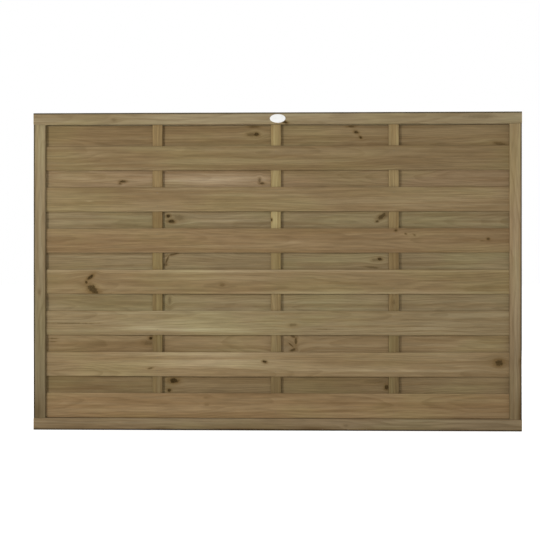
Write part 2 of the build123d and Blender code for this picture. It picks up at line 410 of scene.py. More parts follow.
class FencePanelSizes(bpy.types.PropertyGroup):
    """Sizes of the dressed pieces that a user would change."""

    slat_round: FloatProperty(
        name="Slat edge", description="Rounding of the slats' long edges",
        default=2.6 * MM, min=0.5 * MM, max=3.5 * MM, unit="LENGTH",
    )
    batten_round: FloatProperty(
        name="Batten edge", description="Rounding of the battens' long edges",
        default=1.6 * MM, min=0.5 * MM, max=4.0 * MM, unit="LENGTH",
    )
    frame_round: FloatProperty(
        name="Frame edge", description="Rounding of the rails' and stiles' long edges",
        default=4.0 * MM, min=1.0 * MM, max=8.0 * MM, unit="LENGTH",
    )
    groove_width: FloatProperty(
        name="Groove width", description="Width of the groove along the inner face of rails and stiles",
        default=16.6 * MM, min=8.0 * MM, max=30.0 * MM, unit="LENGTH",
    )
    groove_depth: FloatProperty(
        name="Groove depth", description="Depth of the groove along the inner face of rails and stiles",
        default=12.0 * MM, min=4.0 * MM, max=30.0 * MM, unit="LENGTH",
    )
    edge_wander: FloatProperty(
        name="Edge wander", description="How far a slat's long edges leave a straight line",
        default=0.9 * MM, min=0.0, max=3.0 * MM, unit="LENGTH",
    )
    cup: FloatProperty(
        name="Cupping", description="How far a slat's face is hollowed or crowned across its height",
        default=0.35 * MM, min=0.0, max=1.5 * MM, unit="LENGTH",
    )
    ripple: FloatProperty(
        name="Ripple", description="Height of the planer's ripple and raised grain on the faces",
        default=0.16 * MM, min=0.0, max=1.0 * MM, unit="LENGTH",
    )
    slat_pin_wire: FloatProperty(
        name="Slat pin wire", description="Width of the square wire of the slats' pins",
        default=2.0 * MM, min=0.8 * MM, max=4.0 * MM, unit="LENGTH",
    )
    frame_pin_wire: FloatProperty(
        name="Frame pin wire", description="Width of the square wire of the frame's pins",
        default=2.5 * MM, min=0.8 * MM, max=5.0 * MM, unit="LENGTH",
    )
    pin_proud: FloatProperty(
        name="Pin height", description="How far a pin's head stands out of the wood",
        default=0.3 * MM, min=0.1 * MM, max=1.0 * MM, unit="LENGTH",
    )
    pin_spread: FloatProperty(
        name="Pin spread", description="Between the two pins of a slat on one batten",
        default=50.0 * MM, min=10.0 * MM, max=80.0 * MM, unit="LENGTH",
    )
    pin_point: FloatProperty(
        name="Pin point", description="Length of a pin's point",
        default=2.5 * MM, min=0.5 * MM, max=6.0 * MM, unit="LENGTH",
    )
    plaque_round: FloatProperty(
        name="Plaque edge", description="Rounding of the plaque's front edge",
        default=1.1 * MM, min=0.2 * MM, max=1.4 * MM, unit="LENGTH",
    )


class FencePanelFinish(bpy.types.PropertyGroup):
    """Colours and grain of the wood, the steel and the plastic."""

    sage: FloatVectorProperty(
        name="Sage slats", description="Tone of the greenest slats",
        default=(0.252, 0.192, 0.104), min=0.0, max=1.0, subtype="COLOR", size=3,
    )
    tan: FloatVectorProperty(
        name="Tan slats", description="Tone of the plainest slats",
        default=(0.239, 0.170, 0.086), min=0.0, max=1.0, subtype="COLOR", size=3,
    )
    straw: FloatVectorProperty(
        name="Straw slats", description="Tone of the yellowest slats",
        default=(0.273, 0.197, 0.103), min=0.0, max=1.0, subtype="COLOR", size=3,
    )
    russet: FloatVectorProperty(
        name="Russet slats", description="Tone of the brownest slats",
        default=(0.246, 0.168, 0.085), min=0.0, max=1.0, subtype="COLOR", size=3,
    )
    pale: FloatVectorProperty(
        name="Pale slats", description="Tone of the palest slats",
        default=(0.309, 0.216, 0.118), min=0.0, max=1.0, subtype="COLOR", size=3,
    )
    batten: FloatVectorProperty(
        name="Battens", description="Tone of the battens",
        default=(0.292, 0.213, 0.102), min=0.0, max=1.0, subtype="COLOR", size=3,
    )
    frame: FloatVectorProperty(
        name="Frame", description="Tone of the top rail and the left stile",
        default=(0.282, 0.225, 0.132), min=0.0, max=1.0, subtype="COLOR", size=3,
    )
    brown_frame: FloatVectorProperty(
        name="Brown frame", description="Tone of the bottom rail and the right stile",
        default=(0.284, 0.210, 0.118), min=0.0, max=1.0, subtype="COLOR", size=3,
    )
    treatment: FloatVectorProperty(
        name="Treatment", description="Tint that the green preservative leaves in patches",
        default=(0.86, 1.00, 0.86), min=0.0, max=1.0, subtype="COLOR", size=3,
    )
    warm: FloatVectorProperty(
        name="Heartwood", description="Tint of the warmer streaks",
        default=(1.00, 0.86, 0.70), min=0.0, max=1.0, subtype="COLOR", size=3,
    )
    knot: FloatVectorProperty(
        name="Knots", description="Colour of a knot's core",
        default=(0.027, 0.0145, 0.001), min=0.0, max=1.0, subtype="COLOR", size=3,
    )
    knot_halo: FloatVectorProperty(
        name="Knot halo", description="Colour of the resinous wood round a knot",
        default=(0.190, 0.108, 0.032), min=0.0, max=1.0, subtype="COLOR", size=3,
    )
    foot: FloatProperty(
        name="Foot shade", description="How much light the uprights keep near the floor, as painted shade",
        default=0.68, min=0.2, max=1.0, subtype="FACTOR",
    )
    arris: FloatProperty(
        name="Arris shade and soil", description="How much light the rails and stiles keep on their outer edges",
        default=0.27, min=0.2, max=1.0, subtype="FACTOR",
    )
    ring_width: FloatProperty(
        name="Ring width", description="Width of a year's growth ring",
        default=5.5 * MM, min=1.0 * MM, max=12.0 * MM, unit="LENGTH",
    )
    steel: FloatVectorProperty(
        name="Pins", description="Colour of the zinc on the pins",
        default=(0.20, 0.19, 0.17), min=0.0, max=1.0, subtype="COLOR", size=3,
    )
    dull_steel: FloatVectorProperty(
        name="Dull pins", description="Colour of the zinc where it has dulled",
        default=(0.10, 0.075, 0.05), min=0.0, max=1.0, subtype="COLOR", size=3,
    )
    plastic: FloatVectorProperty(
        name="Plaque", description="Colour of the plaque's plastic",
        default=(0.92, 0.92, 0.90), min=0.0, max=1.0, subtype="COLOR", size=3,
    )
    soiled_plastic: FloatVectorProperty(
        name="Soiled plaque", description="Colour of the plaque's plastic where it is soiled",
        default=(0.80, 0.79, 0.74), min=0.0, max=1.0, subtype="COLOR", size=3,
    )


class FencePanelStudio(bpy.types.PropertyGroup):
    """Camera, light and floor."""

    distance: FloatProperty(
        name="Camera distance", description="From the panel's middle to the camera",
        default=4.2, min=1.0, max=12.0, unit="LENGTH",
    )
    height: FloatProperty(
        name="Camera height", description="Height of the level camera above the floor",
        default=0.602, min=0.05, max=3.0, unit="LENGTH",
    )
    azimuth: FloatProperty(
        name="Camera azimuth", description="How far right of square on the camera stands",
        default=math.radians(1.172), min=-math.pi, max=math.pi, subtype="ANGLE",
    )
    turn: FloatProperty(
        name="Camera turn", description="How far the camera turns back to the left",
        default=math.radians(1.505), min=-math.pi, max=math.pi, subtype="ANGLE",
    )
    lens: FloatProperty(
        name="Lens", description="Focal length on a sensor 36 mm wide",
        default=74.365, min=20.0, max=300.0, unit="CAMERA",
    )
    key_power: FloatProperty(
        name="Key light", description="Power of the small soft light in front on the left",
        default=50.0, min=0.0, unit="POWER",
    )
    front_power: FloatProperty(
        name="Front light", description="Power of the long soft light in front",
        default=27.0, min=0.0, unit="POWER",
    )
    rear_power: FloatProperty(
        name="Rear light", description="Power of the soft light behind on the right",
        default=85.0, min=0.0, unit="POWER",
    )
    ambient: FloatProperty(
        name="Ambient", description="Strength of the even light from all round",
        default=0.36, min=0.0, max=2.0,
    )
    floor: FloatVectorProperty(
        name="Floor", description="Colour of the floor",
        default=(0.82, 0.82, 0.81), min=0.0, max=1.0, subtype="COLOR", size=3,
    )


def sizes():
    """The sizes in the sidebar."""
    return bpy.context.scene.fence_sizes


def finishes():
    """The colours and grain in the sidebar."""
    return bpy.context.scene.fence_finish


def studio():
    """The camera, light and floor in the sidebar."""
    return bpy.context.scene.fence_studio


# Node trees

def feed(tree, socket, value):
    """Links a socket to another node's output, or sets it to a plain value."""
    if isinstance(value, bpy.types.NodeSocket):
        tree.links.new(value, socket)
    else:
        socket.default_value = value


def put(tree, kind, *values, **settings):
    """Adds a node with its settings. Values feed its inputs in order, and None leaves one as it is."""
    node = tree.nodes.new(kind)
    for key, value in settings.items():
        setattr(node, key, value)
    for socket, value in zip(node.inputs, values):
        if value is not None:
            feed(tree, socket, value)
    return node


def calc(tree, operation, *values):
    """A Math node's result."""
    return put(tree, "ShaderNodeMath", *values, operation=operation).outputs[0]


def vector(tree, operation, *values):
    """A Vector Math node's result."""
    return put(tree, "ShaderNodeVectorMath", *values, operation=operation).outputs[0]


def scaled(tree, triple, amount):
    """A colour or a place multiplied by an amount."""
    return vector(tree, "SCALE", triple, None, None, amount)


def split(tree, place):
    """The three parts of a place."""
    return put(tree, "ShaderNodeSeparateXYZ", place).outputs


def join(tree, x, y, z):
    """Three parts made one place or colour."""
    return put(tree, "ShaderNodeCombineXYZ", x, y, z).outputs[0]


def ramp(tree, value, start, end, low=0.0, high=1.0):
    """Value carried smoothly from low at start to high at end."""
    node = put(tree, "ShaderNodeMapRange", value, start, end, low, high, interpolation_type="SMOOTHSTEP")
    return node.outputs[0]


def fade(tree, value, start, end):
    """1 up to start, and smoothly down to 0 at end."""
    return ramp(tree, value, start, end, 1.0, 0.0)


def blend(tree, factor, first, second, mode="MIX"):
    """Two colours mixed by a factor."""
    node = put(tree, "ShaderNodeMix", data_type="RGBA", blend_type=mode)
    for index, value in zip(MIX_INPUTS, (factor, first, second)):
        feed(tree, node.inputs[index], value)
    return node.outputs[MIX_COLOUR]


def speckle(tree, place, scale, detail, roughness):
    """Even noise."""
    return put(tree, "ShaderNodeTexNoise", place, None, scale, detail, roughness).outputs[0]


def cloud(tree, place, kind):
    """Noise of its own scale along the board, across it and into it."""
    return speckle(tree, vector(tree, "MULTIPLY", place, kind.scale), 1.0, kind.detail, kind.roughness)


def sway(tree, place, kind, reach):
    """Such noise carried to both sides of nought, over a reach."""
    return calc(tree, "MULTIPLY_ADD", cloud(tree, place, kind), reach, -reach / 2)


def length_squared(tree, first, second):
    """The square of the distance that two parts give."""
    return calc(tree, "MULTIPLY_ADD", first, first, calc(tree, "MULTIPLY", second, second))


def group(name, inputs, outputs):
    """An empty node group, with its input and output nodes."""
    tree = bpy.data.node_groups.new(name, "ShaderNodeTree")
    for label, kind in inputs:
        tree.interface.new_socket(label, in_out="INPUT", socket_type=kind)
    for label, kind in outputs:
        tree.interface.new_socket(label, in_out="OUTPUT", socket_type=kind)
    return tree, tree.nodes.new("NodeGroupInput").outputs, tree.nodes.new("NodeGroupOutput").inputs


def shared_group(name, make):
    """A node group that is made once and used by every board."""
    return bpy.data.node_groups.get(name) or make()


def call_group(tree, shared, *values):
    """The outputs of a node that uses a shared group."""
    return put(tree, "ShaderNodeGroup", *values, node_tree=shared).outputs


def knot_group():
    """Bends the grain round one knot, and adds its core and halo to those of the knots before it."""
    number, triple = "NodeSocketFloat", "NodeSocketVector"
    tree, given, result = group(
        "knot",
        [("Place", triple), ("Bent", triple), ("Core", number), ("Halo", number), ("Centre", triple),
         ("Half long", number), ("Half high", number), ("Dark", number), ("Turn", number)],
        [("Bent", triple), ("Core", number), ("Halo", number)],
    )
    place, bent, core, halo, centre, half_long, half_high, dark, turn = given[:9]
    offset = vector(tree, "SUBTRACT", place, centre)
    back = calc(tree, "MULTIPLY", turn, -1.0)
    turned = put(tree, "ShaderNodeVectorRotate", offset, None, None, back, rotation_type="Z_AXIS").outputs[0]
    along, across, _ = split(tree, turned)
    squared = length_squared(
        tree, calc(tree, "DIVIDE", along, half_long), calc(tree, "DIVIDE", across, half_high),
    )
    ragged = sway(tree, place, KNOT_OUTLINE, KNOT_RAGGED)
    reach = calc(tree, "ADD", calc(tree, "SQRT", squared), ragged)

    uneven = ramp(tree, cloud(tree, offset, KNOT_HEART), *CONTRAST["knot_heart"])
    heart = calc(tree, "MULTIPLY", fade(tree, reach, *HEART_EDGE), uneven)
    stain = calc(tree, "MULTIPLY", fade(tree, reach, *STAIN_EDGE), STAIN_STRENGTH)
    own_core = calc(tree, "MULTIPLY", calc(tree, "MAXIMUM", heart, stain), dark)
    own_halo = calc(tree, "MULTIPLY", fade(tree, reach, *HALO_EDGE), dark)

    pull = calc(tree, "EXPONENT", calc(tree, "MULTIPLY", squared, -GRAIN_PULL_FALL))
    shift = calc(tree, "MULTIPLY", calc(tree, "MULTIPLY", split(tree, offset)[1], pull), -GRAIN_PULL)
    tree.links.new(vector(tree, "ADD", bent, join(tree, 0.0, shift, 0.0)), result[0])
    tree.links.new(calc(tree, "MAXIMUM", core, own_core), result[1])
    tree.links.new(calc(tree, "MAXIMUM", halo, own_halo), result[2])
    return tree


def grain_group():
    """Growth rings about a tilted pith, and the other noise in a softwood board."""
    number, triple = "NodeSocketFloat", "NodeSocketVector"
    tree, given, result = group(
        "softwood grain",
        [("Place", triple), ("Seed", number), ("Pith across", number), ("Pith depth", number),
         ("Ring width", number)],
        [("Rings", number)] + [(kind.capitalize(), number) for kind in GRAIN],
    )
    place, seed, pith_across, pith_depth, ring_width = given[:5]
    moved = vector(tree, "ADD", place, scaled(tree, SEED_STEP, seed))
    along, across, depth = split(tree, place)

    bent_depth = calc(tree, "ADD", pith_depth, sway(tree, moved, PITH_BEND, PITH_REACH))
    pith = calc(tree, "MULTIPLY_ADD", along, PITH_LEAN, bent_depth)
    squared = length_squared(
        tree, calc(tree, "SUBTRACT", across, pith_across), calc(tree, "SUBTRACT", depth, pith),
    )
    radius = calc(tree, "ADD", calc(tree, "SQRT", squared), sway(tree, moved, RING_BEND, RING_REACH))
    year = calc(tree, "DIVIDE", radius, ring_width)
    part = calc(tree, "FRACT", year)
    late = calc(tree, "MULTIPLY", ramp(tree, part, *LATE_WOOD), fade(tree, part, *RING_END))
    whole = calc(tree, "FLOOR", year)
    which = put(tree, "ShaderNodeTexWhiteNoise", None, whole, noise_dimensions="1D").outputs[0]
    strength = calc(tree, "MULTIPLY_ADD", which, 1.0 - FAINT_RING, FAINT_RING)
    tree.links.new(calc(tree, "MULTIPLY", late, strength), result[0])
    for index, kind in enumerate(GRAIN.values(), 1):
        tree.links.new(cloud(tree, moved, kind), result[index])
    return tree


# Materials

def new_material(name):
    """A material with its node tree and its shader."""
    material = bpy.data.materials.new(name)
    material.use_nodes = True
    return material, material.node_tree, material.node_tree.nodes["Principled BSDF"]


def add_bump(tree, shader, height, strength, depth):
    """Raises a shader's surface by a height."""
    bump = put(tree, "ShaderNodeBump", strength, depth)
    tree.links.new(height, bump.inputs["Height"])
    tree.links.new(bump.outputs[0], shader.inputs["Normal"])


def board_place(tree, middle, upright):
    """A point's place along a board, across it from its middle and into it, and its height."""
    x, y, z = split(tree, put(tree, "ShaderNodeTexCoord").outputs["Object"])
    if upright:
        return join(tree, z, calc(tree, "SUBTRACT", x, middle.x), y), z
    return join(tree, x, calc(tree, "SUBTRACT", z, middle.z), y), z


def board_spot(spot, middle, upright):
    """Middle and half size of a knot or patch along a board, across it and into it, in metres."""
    if upright:
        return (spot.z * MM, spot.x * MM - middle.x, 0.0), spot.high * MM, spot.long * MM
    return (spot.x * MM, spot.z * MM - middle.z, 0.0), spot.long * MM, spot.high * MM


def grown_colour(tree, look, rings, streaks, fibres, patches, flecks):
    """A board's colour from its tone and grain, with green from the treatment and warm heartwood."""
    base = Vector(getattr(finishes(), look.tone)) * look.light
    early = (*(base * EARLY_TONE), 1.0)
    late = (*[part * share for part, share in zip(base, LATE_TONE)], 1.0)
    colour = blend(tree, calc(tree, "MULTIPLY", rings, RING_SHOW), early, late)
    green = calc(tree, "MULTIPLY", ramp(tree, patches, *GREEN_FROM), GREEN_SHOW)
    colour = blend(tree, green, colour, (*finishes().treatment, 1.0), "MULTIPLY")
    warm = calc(tree, "MULTIPLY", ramp(tree, streaks, *WARM_FROM), WARM_SHOW)
    colour = blend(tree, warm, colour, (*finishes().warm, 1.0), "MULTIPLY")
    for kind, value in (("streaks", streaks), ("fibres", fibres), ("flecks", flecks), ("patches", patches)):
        colour = scaled(tree, colour, ramp(tree, value, *CONTRAST[kind]))
    return colour


def patch_tone_and_light(tree, colour, place, spots, middle, upright):
    """A board's colour with its patches, some of them painted highlight and painted shade. A light one is
    greyer too, as sun and rain leave the wood.
    """
    gain = 1.0
    for spot in spots:
        centre, half_long, half_high = board_spot(spot, middle, upright)
        reach = vector(
            tree, "MULTIPLY", vector(tree, "SUBTRACT", place, centre), (1 / half_long, 1 / half_high, 0.0),
        )
        squared = put(tree, "ShaderNodeVectorMath", reach, reach, operation="DOT_PRODUCT").outputs["Value"]
        amount = calc(tree, "EXPONENT", calc(tree, "MULTIPLY", squared, -1.0))
        gain = calc(tree, "MULTIPLY", gain, calc(tree, "MULTIPLY_ADD", amount, spot.gain - 1.0, 1.0))
    tint = join(tree, *[calc(tree, "POWER", gain, power) for power in PATCH_POWERS])
    return vector(tree, "MULTIPLY", colour, tint)


def arris_shade_and_soil(tree, place, low, high, upright):
    """How much light a frame bar keeps: less along its two outer edges, partly painted shade on their rounded
    arrises and partly soil in patches.
    """
    _, across, depth = split(tree, place)
    half = (high - low) / 2
    half_across = half.x if upright else half.z
    outward = low + half - (CAD_BOX[0] + CAD_BOX[1]) / 2
    side = math.copysign(1.0, outward.x if upright else outward.z)
    edge = sizes().frame_round
    near_side = ramp(
        tree, calc(tree, "MULTIPLY", across, side), *[half_across - share * edge for share in ARRIS_SIDE],
    )
    near_face = ramp(
        tree, calc(tree, "ABSOLUTE", depth), *[half.y - share * edge for share in ARRIS_FACE],
    )
    patchy = ramp(tree, cloud(tree, place, ARRIS_PATCHES), *CONTRAST["arris_patches"])
    edge_shade_and_soil = calc(tree, "MULTIPLY", calc(tree, "MULTIPLY", near_side, near_face), patchy)
    return ramp(tree, edge_shade_and_soil, 0.0, 1.0, 1.0, finishes().arris)


def wood(name, upright):
    """The material of one board, with its own tone, grain and knots."""
    look = LOOKS[name]
    low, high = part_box(name)
    middle = (low + high) / 2
    material, tree, shader = new_material(f"{name}_wood")
    place, height = board_place(tree, middle, upright)

    bent, core, halo = place, 0.0, 0.0
    for knot in look.knots:
        bent, core, halo = call_group(
            tree, shared_group("knot", knot_group), place, bent, core, halo,
            *board_spot(knot, middle, upright), knot.dark, math.radians(knot.turn),
        )
    rings, streaks, fibres, patches, flecks = call_group(
        tree, shared_group("softwood grain", grain_group), bent, look.seed,
        look.pith_across * MM, look.pith_depth * MM, finishes().ring_width,
    )

    colour = grown_colour(tree, look, rings, streaks, fibres, patches, flecks)
    # Patches: the wood's own tone, with painted highlight and painted shade on some boards
    if look.patches:
        colour = patch_tone_and_light(tree, colour, bent, look.patches, middle, upright)
    # Painted shade: the uprights get darker towards the bottom, as the light falls off
    if upright:
        colour = scaled(tree, colour, ramp(tree, height, *FOOT_SHADE_REACH, finishes().foot, 1.0))
    # Painted shade and soil along the outer edges of the rails and stiles
    if name.endswith(("rail", "stile")):
        colour = scaled(tree, colour, arris_shade_and_soil(tree, place, low, high, upright))
    if look.knots:
        colour = blend(tree, calc(tree, "MULTIPLY", halo, HALO_SHOW), colour, (*finishes().knot_halo, 1.0))
        colour = blend(tree, calc(tree, "MULTIPLY", core, CORE_SHOW), colour, (*finishes().knot, 1.0))
    tree.links.new(colour, shader.inputs["Base Color"])
    tree.links.new(ramp(tree, fibres, *WOOD_ROUGHNESS), shader.inputs["Roughness"])
    shader.inputs["Specular IOR Level"].default_value = WOOD_GLOSS
    relief = calc(tree, "MULTIPLY_ADD", fibres, FIBRE_RELIEF, calc(tree, "MULTIPLY", rings, RING_RELIEF))
    add_bump(tree, shader, relief, *WOOD_BUMP)
    return material


def steel():
    """Zinc on the pins, dulled in spots."""
    material, tree, shader = new_material("pin_steel")
    place = put(tree, "ShaderNodeTexCoord").outputs["Object"]
    spots = speckle(tree, place, *ZINC_SPOTS)
    bright, dull = (*finishes().steel, 1.0), (*finishes().dull_steel, 1.0)
    tree.links.new(blend(tree, ramp(tree, spots, *ZINC_DULL), bright, dull), shader.inputs["Base Color"])
    tree.links.new(ramp(tree, spots, *ZINC_ROUGHNESS), shader.inputs["Roughness"])
    shader.inputs["Metallic"].default_value = ZINC_METALLIC
    return material


def plastic():
    """Satin white moulded plastic, a little soiled."""
    material, tree, shader = new_material("plaque_plastic")
    place = put(tree, "ShaderNodeTexCoord").outputs["Object"]
    grime = speckle(tree, place, *PLAQUE_GRIME)
    white, soiled = (*finishes().plastic, 1.0), (*finishes().soiled_plastic, 1.0)
    tree.links.new(blend(tree, ramp(tree, grime, *PLAQUE_SOILED), white, soiled), shader.inputs["Base Color"])
    tree.links.new(ramp(tree, grime, *PLAQUE_ROUGHNESS), shader.inputs["Roughness"])
    add_bump(tree, shader, speckle(tree, place, *PLAQUE_STIPPLE), *PLAQUE_BUMP)
    return material


# Meshes

def add_piece(name, shape, material, replaced):
    """Turns a finished bmesh into a piece that stands for a solid and moves with the panel."""
    mesh = bpy.data.meshes.new(name)
    bmesh.ops.recalc_face_normals(shape, faces=shape.faces)
    shape.to_mesh(mesh)
    shape.free()
    mesh.shade_smooth()
    mesh.set_sharp_from_angle(angle=SHARP_ANGLE)
    mesh.materials.append(material)
    piece = bpy.data.objects.new(name, mesh)
    bpy.context.scene.collection.objects.link(piece)
    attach(piece, BODY)
    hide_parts(replaced)
    return piece


def edges_along(shape, direction):
    """The edges that run along a direction."""
    return [
        edge for edge in shape.edges
        if abs((edge.verts[1].co - edge.verts[0].co).normalized().dot(direction)) > PARALLEL
    ]


def moved_verts(result):
    """The vertices that an extrusion has made."""
    return [item for item in result["geom"] if isinstance(item, bmesh.types.BMVert)]


def round_edges(shape, edges, radius, segments):
    """Rounds edges, or bevels them flat with one segment."""
    bmesh.ops.bevel(
        shape, geom=edges, offset=radius, offset_type="OFFSET", segments=segments, profile=0.5,
        affect="EDGES", material=-1,
    )


def cut_lengthwise(shape, direction, cuts):
    """Divides the edges along a direction, so that the board can bend and wander."""
    bmesh.ops.subdivide_edges(shape, edges=edges_along(shape, direction), cuts=cuts, use_grid_fill=True)


def plank(low, high, along, across, radius, cuts):
    """A board between two corners, with rounded long edges and divided along and across."""
    long_cuts, cross_cuts = cuts
    shape = bmesh.new()
    bmesh.ops.create_cube(shape, size=1.0)
    bmesh.ops.scale(shape, vec=high - low, verts=shape.verts)
    bmesh.ops.translate(shape, vec=(low + high) / 2, verts=shape.verts)
    round_edges(shape, edges_along(shape, along), radius, EDGE_SEGMENTS)
    wide = (high - low).dot(across)
    faces = [edge for edge in edges_along(shape, across) if edge.calc_length() > wide / 2]
    bmesh.ops.subdivide_edges(shape, edges=faces, cuts=cross_cuts, use_grid_fill=True)
    cut_lengthwise(shape, along, long_cuts)
    return shape


def spring(x):
    """How far a slat has come out of the groove towards the batten's face, from 0 to 1."""
    if x < FIRST_BATTEN_EDGE:
        part = (x - LEFT_MOUTH) / (FIRST_BATTEN_EDGE - LEFT_MOUTH)
    elif x > LAST_BATTEN_EDGE:
        part = (RIGHT_MOUTH - x) / (RIGHT_MOUTH - LAST_BATTEN_EDGE)
    else:
        return 1.0
    part = min(max(part, 0.0), 1.0)
    return 2 * part**2 if part < 0.5 else 1 - 2 * (1 - part)**2


def wave(place, seed):
    """Smooth noise between about -1 and 1."""
    return noise.noise(Vector(place) + Vector([seed * step for step in WAVE_STEP]))


def weather_slat(shape, seed, low, high):
    """Lets a slat's edges wander, cups its face and raises its grain, but not where it enters the stiles.

    A slat beside a rail has swollen up to it and hardly wanders.
    """
    cup_side = 1 if seed % 2 else -1
    middle_z, half_height = (low.z + high.z) / 2, (high.z - low.z) / 2
    top_gap, base_gap = INNER_TOP - high.z, low.z - INNER_BASE
    along, across = SLAT_RIPPLE
    for vert in shape.verts:
        x, y, z = vert.co
        free = spring(x)
        v = (z - middle_z) / half_height
        twist = TWIST * v * wave((x * TWIST_WAVE, v, 0), seed + TWIST_SEED)
        wander = sizes().edge_wander * (wave((x * EDGE_WAVE, 0, 0), seed) + twist)
        if top_gap < NEAR_RAIL * half_height:
            vert.co.z += max(v, 0.0) * top_gap * SWELL + HELD_WANDER * wander
        elif base_gap < NEAR_RAIL * half_height:
            vert.co.z += min(v, 0.0) * base_gap * SWELL + HELD_WANDER * wander
        else:
            vert.co.z += free * wander
        vert.co.y += free * sizes().cup * cup_side * (v * v - CUP_LEVEL)
        vert.co.y += free * sizes().ripple * wave((x * along, z * across, y * across), seed + RIPPLE_SEED)


def slat(name):
    """A slat with rounded edges, sprung over the battens."""
    low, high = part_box(name)
    front = low.y + high.y < 0
    side = -1 if front else 1
    outer_y, inner_y = (low.y, high.y) if front else (high.y, low.y)
    thickness = abs(outer_y) - BATTEN_HALF
    groove_y = inner_y + side * thickness / 2
    batten_y = side * (BATTEN_HALF + thickness / 2)
    half = Vector((0, thickness / 2, 0))
    shape = plank(
        Vector((low.x, 0, low.z)) - half, Vector((high.x, 0, high.z)) + half,
        ALONG_X, ALONG_Z, sizes().slat_round, SLAT_CUTS,
    )
    for vert in shape.verts:
        vert.co.y += groove_y + (batten_y - groove_y) * spring(vert.co.x)
    weather_slat(shape, LOOKS[name].seed, low, high)
    return add_piece(f"{name}_board", shape, wood(name, upright=False), name)


def grooved_bar(length, width, depth):
    """A bar along X from 0, with a groove facing +Z along the middle of its top face.

    Its width is along Z and its depth along Y, both from the middle.
    """
    groove = sizes().groove_width / 2
    floor_z = width / 2 - sizes().groove_depth
    shape = bmesh.new()
    outline = {
        key: shape.verts.new((0, y, z)) for key, y, z in (
            ("front_base", -depth / 2, -width / 2),
            ("front_split", -groove, -width / 2),
            ("rear_split", groove, -width / 2),
            ("rear_base", depth / 2, -width / 2),
            ("rear_top", depth / 2, width / 2),
            ("rear_lip", groove, width / 2),
            ("rear_floor", groove, floor_z),
            ("front_floor", -groove, floor_z),
            ("front_lip", -groove, width / 2),
            ("front_top", -depth / 2, width / 2),
        )
    }
    for corners in (
        ("front_base", "front_split", "front_floor", "front_lip", "front_top"),
        ("front_split", "rear_split", "rear_floor", "front_floor"),
        ("rear_split", "rear_base", "rear_top", "rear_lip", "rear_floor"),
    ):
        shape.faces.new([outline[key] for key in corners])
    far_end = moved_verts(bmesh.ops.extrude_face_region(shape, geom=shape.faces[:], use_keep_orig=True))
    bmesh.ops.translate(shape, vec=(length, 0, 0), verts=far_end)
    bmesh.ops.recalc_face_normals(shape, faces=shape.faces)
    corners = [
        edge for edge in edges_along(shape, ALONG_X)
        if abs(edge.verts[0].co.y) > groove + TOUCH and abs(abs(edge.verts[0].co.z) - width / 2) < TOUCH
    ]
    round_edges(shape, corners, sizes().frame_round, FRAME_EDGE_SEGMENTS)
    return shape


def add_tenons(shape, length):
    """Draws the part of a bar's ends that lies below its groove out into tenons."""
    for end_x, step in ((0.0, -TENON_LENGTH), (length, TENON_LENGTH)):
        cap = [
            face for face in shape.faces
            if all(abs(vert.co.x - end_x) < TOUCH for vert in face.verts)
            and all(abs(vert.co.y) < sizes().groove_width / 2 + TOUCH for vert in face.verts)
        ]
        tenon = moved_verts(bmesh.ops.extrude_face_region(shape, geom=cap))
        bmesh.ops.translate(shape, vec=(step, 0, 0), verts=tenon)


def weather_bar(shape, seed, length):
    """Lets a bar's faces wander a little between its ends."""
    along, across = BAR_RIPPLE
    for vert in shape.verts:
        x, y, z = vert.co
        free = math.sin(math.pi * min(max(x / length, 0.0), 1.0)) ** 0.5
        deep, wide = [
            wave((x * BAR_WAVE, row, 0), seed)
            + BAR_RIPPLE_SHARE * wave((x * along, y * across, z * across), seed + ripple_seed)
            for row, ripple_seed in zip(BAR_ROWS, BAR_RIPPLE_SEEDS)
        ]
        vert.co.y += free * sizes().ripple * deep
        vert.co.z += free * sizes().ripple * wide


def frame_bar(name, upright, turn, start):
    """A rail, or a stile with its tenons: a grooved bar, turned and put in its place."""
    low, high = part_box(name)
    length = (high.z - low.z - 2 * TENON_LENGTH) if upright else (high.x - low.x)
    width = (high.x - low.x) if upright else (high.z - low.z)
    shape = grooved_bar(length, width, high.y - low.y)
    if upright:
        add_tenons(shape, length)
    cut_lengthwise(shape, ALONG_X, FRAME_CUTS)
    weather_bar(shape, LOOKS[name].seed, length)
    bmesh.ops.transform(shape, matrix=Matrix.Translation(start) @ turn, verts=shape.verts)
    return add_piece(f"{name}_bar", shape, wood(name, upright), name)


def drive_pin(shape, x, z, face_y, side, wire, length):
    """Adds a square pin driven into a face. Side is the way out of the wood along Y."""
    head_y = face_y + side * sizes().pin_proud
    shank = bmesh.ops.create_cube(shape, size=1.0)["verts"]
    shank_length = abs(head_y - face_y) + length - sizes().pin_point
    bmesh.ops.scale(shape, vec=(wire, shank_length, wire), verts=shank)
    bmesh.ops.translate(shape, vec=(x, head_y - side * shank_length / 2, z), verts=shank)
    faces = {face for vert in shank for face in vert.link_faces}
    head = max(faces, key=lambda face: side * face.calc_center_median().y)
    tip = min(faces, key=lambda face: side * face.calc_center_median().y)
    head_edges = head.edges[:]
    point = bmesh.ops.extrude_discrete_faces(shape, faces=[tip])["faces"][0]
    bmesh.ops.translate(shape, vec=(0, -side * sizes().pin_point, 0), verts=point.verts)
    middle = Matrix.Translation(-point.calc_center_median())
    bmesh.ops.scale(shape, vec=(PIN_TIP, 1, PIN_TIP), space=middle, verts=point.verts)
    round_edges(shape, head_edges, wire * PIN_HEAD_BEVEL, 1)


def pin_set(name, places, face_y, wire, material):
    """All the pins driven from one side, as one piece."""
    low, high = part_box(name)
    side = 1 if face_y > 0 else -1
    shape = bmesh.new()
    for x, z in places:
        drive_pin(shape, x, z, face_y, side, wire, high.y - low.y)
    return add_piece(f"{name}_set", shape, material, name)


def batten_middles():
    """Where the battens stand along the panel."""
    return [(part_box(name)[0].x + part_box(name)[1].x) / 2 for name in BATTENS]


